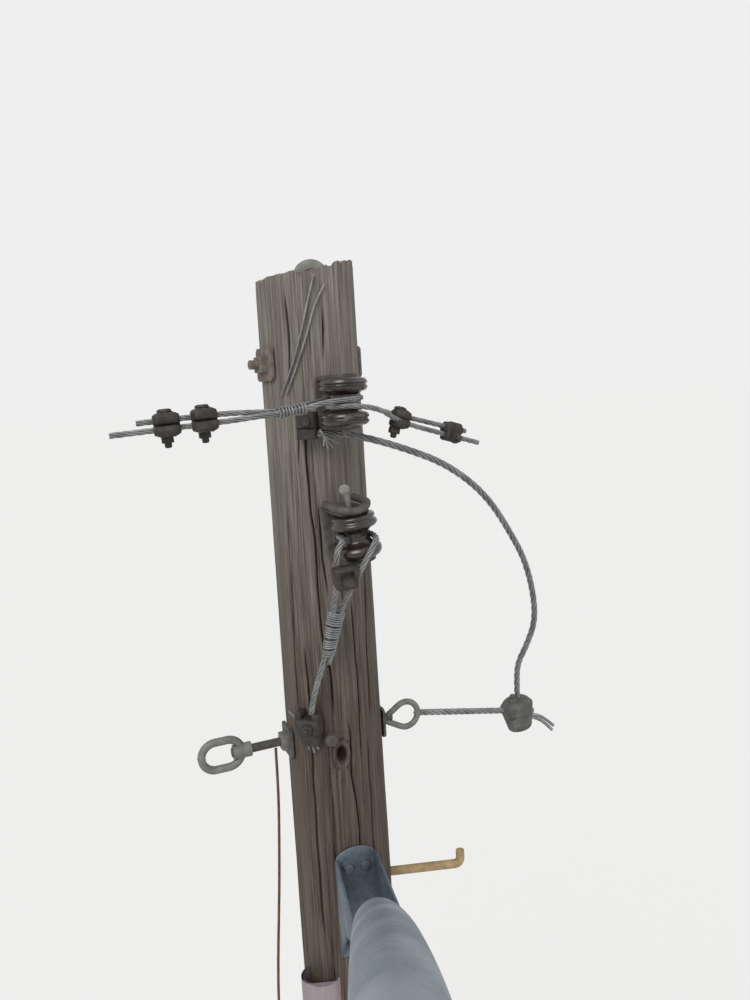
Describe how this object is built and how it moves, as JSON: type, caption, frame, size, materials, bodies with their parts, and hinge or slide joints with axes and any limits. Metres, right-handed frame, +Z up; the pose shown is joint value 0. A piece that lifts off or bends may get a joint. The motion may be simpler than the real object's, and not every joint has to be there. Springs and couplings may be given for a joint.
{
  "type": "wooden light pole with line hardware",
  "caption": "Weathered round wooden light pole with porcelain spools, clevises, clamps, eyes, pole steps, a galvanised arm with a luminaire, a cable guard and a ground wire.",
  "frame": {"origin": "centre of the shaft at the ground line, on its flat lower face", "axes": "+Z up along the shaft, -Y the side with the spools, +X to the right of someone who faces that side"},
  "size_m": [1.3719, 2.5903, 11.7326],
  "materials": {
    "pole_wood": "matte",
    "porcelain": "gloss",
    "galvanised": "matte",
    "strand": "satin",
    "cast_clamp": "matte",
    "tap_casting": "matte",
    "rusty_steel": "matte",
    "guard_plastic": "matte",
    "copper_wire": "satin",
    "luminaire_paint": "satin",
    "lens_glass": "gloss"
  },
  "bodies": {
    "root": {"pole_shaft": "pole_wood", "top_eye": "galvanised", "top_tie_wires": "strand", "tie_bolt": "rusty_steel", "tie_bolt_nut": "rusty_steel", "tie_bolt_washers": "rusty_steel", "upper_spool": "porcelain", "upper_clevis": "galvanised", "upper_clevis_pin": "galvanised", "upper_clevis_bolt": "galvanised", "mid_spool": "porcelain", "mid_clevis": "galvanised", "mid_clevis_pin": "galvanised", "mid_clevis_bolt": "galvanised", "clevis_bolt_washers": "galvanised", "clevis_bolt_nuts": "galvanised", "left_line_wire": "strand", "left_clamp_inner": "cast_clamp", "left_clamp_outer": "cast_clamp", "right_line_wire": "strand", "right_clamp_inner": "cast_clamp", "right_clamp_outer": "cast_clamp", "pole_wire_clamp": "cast_clamp", "jumper_wire": "strand", "tap_clamp": "tap_casting", "messenger_stub": "strand", "mid_loop_wire": "strand", "mid_loop_clamp": "cast_clamp", "mid_serving": "strand", "neutral_connector": "cast_clamp", "right_eye": "galvanised", "left_link": "galvanised", "cross_bolt": "galvanised", "cross_bolt_nut": "galvanised", "cross_bolt_washers": "galvanised", "plug_bolt": "rusty_steel", "steps_right": "rusty_steel", "steps_left": "rusty_steel", "arm_tube": "galvanised", "arm_bracket": "galvanised", "bracket_bolts": "galvanised", "luminaire_housing": "luminaire_paint", "luminaire_lens": "lens_glass", "cable_guard": "guard_plastic", "ground_wire": "copper_wire"}
  },
  "joints": []
}
